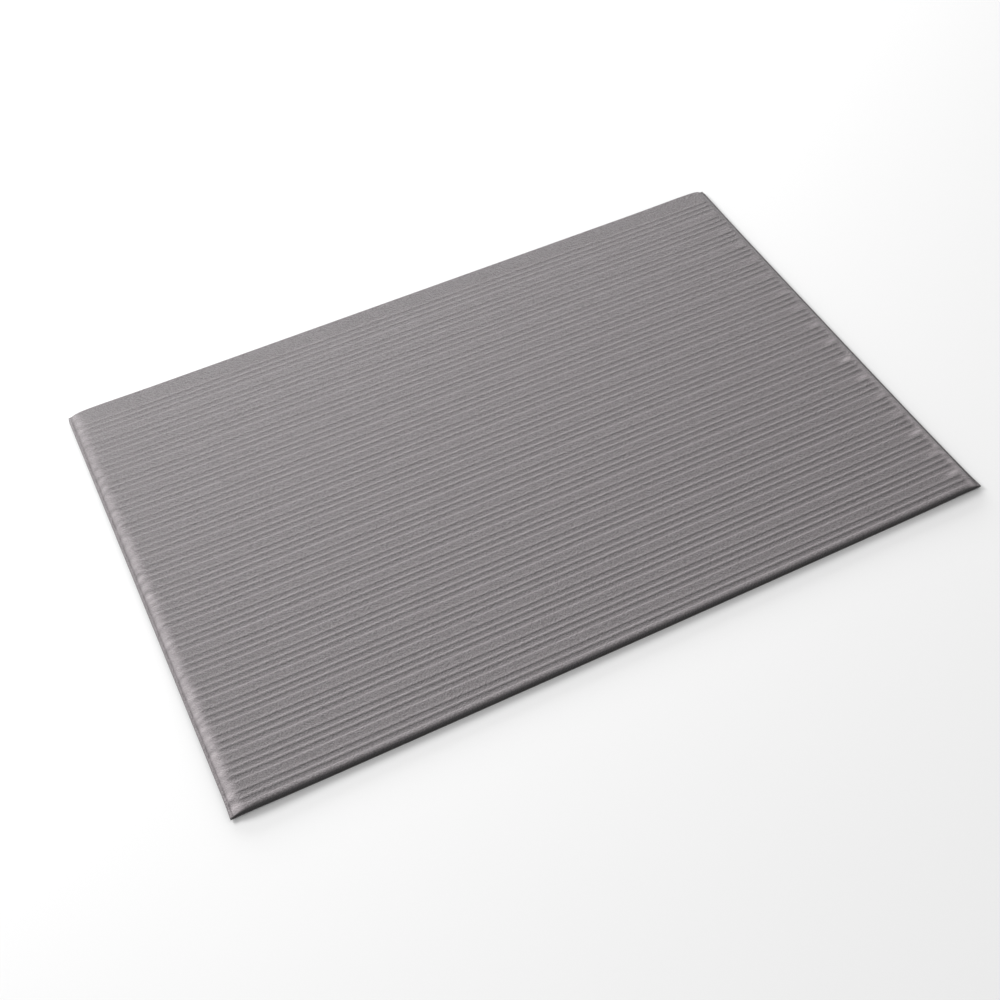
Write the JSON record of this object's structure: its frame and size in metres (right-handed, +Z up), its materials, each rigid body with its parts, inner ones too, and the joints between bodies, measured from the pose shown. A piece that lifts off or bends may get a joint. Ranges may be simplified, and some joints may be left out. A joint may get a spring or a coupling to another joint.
{
  "type": "anti fatigue mat",
  "caption": "Rectangular cushioned floor mat for standing work, a foam core sealed between a ribbed wear skin and a flat base skin, with rolled edges.",
  "frame": {"origin": "the middle of the underside, on the floor", "axes": "+Z up, +X along the ribs and the long sides, +Y towards the long side with the wider plain land"},
  "size_m": [0.914, 0.61, 0.0095],
  "materials": {
    "wear_skin": "mid grey flexible vinyl with a fine pebbled grain, matt with a soft sheen",
    "foam_core": "grey closed-cell vinyl foam, matt",
    "base_skin": "plain grey flexible vinyl, matt, with a fine cloth-pressed grain"
  },
  "bodies": {
    "root": {"wear_skin": "wear_skin", "foam_core": "foam_core", "base_skin": "base_skin"}
  },
  "joints": []
}
